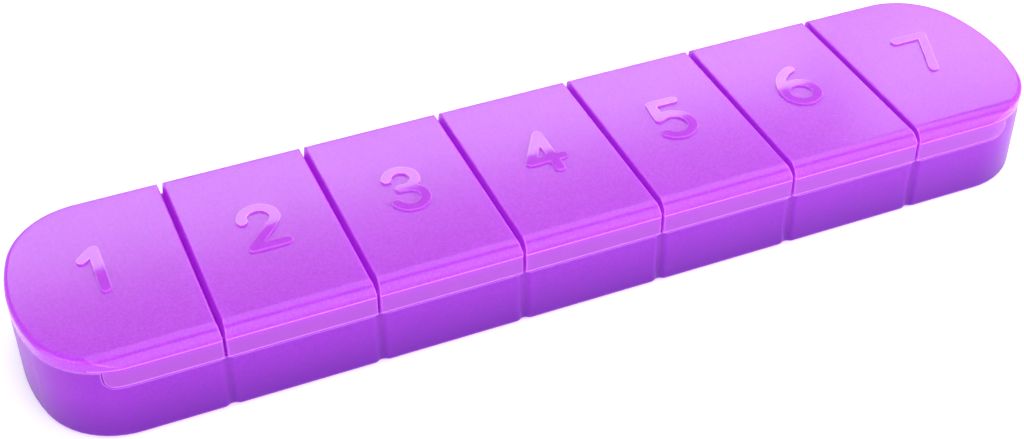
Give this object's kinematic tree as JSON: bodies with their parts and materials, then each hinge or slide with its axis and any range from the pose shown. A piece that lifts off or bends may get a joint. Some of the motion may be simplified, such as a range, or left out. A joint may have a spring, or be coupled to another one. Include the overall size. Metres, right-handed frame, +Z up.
{
  "type": "weekly pill organizer",
  "caption": "Long tray with round ends and a row of pill compartments, each closed by its own hinged lid with a raised numeral and a front lip to lift it by.",
  "frame": {"origin": "centre of the tray's flat base", "axes": "+X along the row of compartments, lid 1 to lid 7; +Y from the lids' front lips to the hinges; +Z up"},
  "size_m": [0.2052, 0.0476, 0.019],
  "materials": {
    "tray_plastic": "frosted translucent polypropylene, purple",
    "lid_plastic": "frosted translucent polypropylene, purple, with polished numerals",
    "pin_steel": "drawn wire"
  },
  "bodies": {
    "tray": {"tray": "tray_plastic", "hinge_pin_1": "pin_steel", "hinge_pin_2": "pin_steel", "hinge_pin_3": "pin_steel", "hinge_pin_4": "pin_steel", "hinge_pin_5": "pin_steel", "hinge_pin_6": "pin_steel", "hinge_pin_7": "pin_steel"},
    "lid_1": {"lid_1": "lid_plastic"},
    "lid_2": {"lid_2": "lid_plastic"},
    "lid_3": {"lid_3": "lid_plastic"},
    "lid_4": {"lid_4": "lid_plastic"},
    "lid_5": {"lid_5": "lid_plastic"},
    "lid_6": {"lid_6": "lid_plastic"},
    "lid_7": {"lid_7": "lid_plastic"}
  },
  "joints": [
    {"name": "lid_1_hinge", "type": "hinge", "parent": "tray", "child": "lid_1", "pos_m": [-0.07945, 0.02395, 0.0141], "axis": [-1, 0, 0], "range_deg": [0, 180]},
    {"name": "lid_2_hinge", "type": "hinge", "parent": "tray", "child": "lid_2", "pos_m": [-0.056, 0.02395, 0.0141], "axis": [-1, 0, 0], "range_deg": [0, 180]},
    {"name": "lid_3_hinge", "type": "hinge", "parent": "tray", "child": "lid_3", "pos_m": [-0.028, 0.02395, 0.0141], "axis": [-1, 0, 0], "range_deg": [0, 180]},
    {"name": "lid_4_hinge", "type": "hinge", "parent": "tray", "child": "lid_4", "pos_m": [0, 0.02395, 0.0141], "axis": [-1, 0, 0], "range_deg": [0, 180]},
    {"name": "lid_5_hinge", "type": "hinge", "parent": "tray", "child": "lid_5", "pos_m": [0.028, 0.02395, 0.0141], "axis": [-1, 0, 0], "range_deg": [0, 180]},
    {"name": "lid_6_hinge", "type": "hinge", "parent": "tray", "child": "lid_6", "pos_m": [0.056, 0.02395, 0.0141], "axis": [-1, 0, 0], "range_deg": [0, 180]},
    {"name": "lid_7_hinge", "type": "hinge", "parent": "tray", "child": "lid_7", "pos_m": [0.07945, 0.02395, 0.0141], "axis": [-1, 0, 0], "range_deg": [0, 180]}
  ]
}
